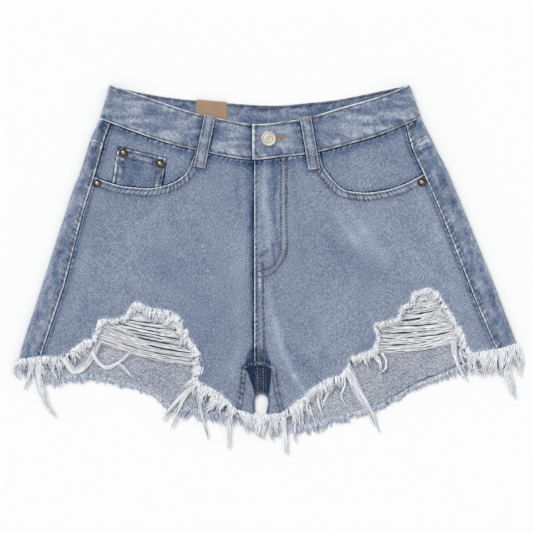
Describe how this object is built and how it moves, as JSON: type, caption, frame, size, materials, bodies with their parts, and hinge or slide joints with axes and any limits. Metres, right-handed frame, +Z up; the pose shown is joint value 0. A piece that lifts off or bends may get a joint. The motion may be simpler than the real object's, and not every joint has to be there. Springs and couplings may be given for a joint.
{
  "type": "denim shorts",
  "caption": "Light blue cut-off denim shorts laid flat, front up, with a buttoned waistband, belt loops, scoop pockets, torn thighs and frayed hems.",
  "frame": {"origin": "on the surface that the shorts lie on, under the middle of their outline", "axes": "+X to the right of the laid shorts as seen from above, +Y towards the waist, +Z up from the surface"},
  "size_m": [0.5718, 0.415, 0.01],
  "materials": {
    "denim": "washed light blue cotton twill, matt, worn pale at edges and folds",
    "denim_dark": "the same twill, less washed, mottled mid blue",
    "frayed_cotton": "undyed cotton weft threads, soft and matt",
    "tan_leather": "plain tan leather, matt, blank",
    "button_metal": "satin pale nickel, plain rings",
    "rivet_brass": "antique brass, darkened"
  },
  "bodies": {
    "root": {"waistband": "denim_dark", "front_panel_left": "denim", "front_panel_right": "denim", "pocket_facing_left": "denim", "pocket_facing_right": "denim", "coin_pocket": "denim_dark", "yoke_left": "denim", "yoke_right": "denim", "back_panel_left": "denim", "back_panel_right": "denim", "belt_loop_left": "denim", "belt_loop_right": "denim", "waist_patch": "tan_leather", "waist_button": "button_metal", "rivet_side_left": "rivet_brass", "rivet_side_right": "rivet_brass", "rivet_coin_outer": "rivet_brass", "rivet_coin_inner": "rivet_brass", "hem_fringe_left_outer": "frayed_cotton", "rip_fringe_left": "frayed_cotton", "hem_fringe_left_inner": "frayed_cotton", "hem_fringe_right_inner": "frayed_cotton", "rip_fringe_right": "frayed_cotton", "hem_fringe_right_outer": "frayed_cotton", "hem_fringe_back_left": "frayed_cotton", "hem_fringe_back_right": "frayed_cotton", "rip_threads_left": "frayed_cotton", "rip_threads_right": "frayed_cotton"}
  },
  "joints": []
}
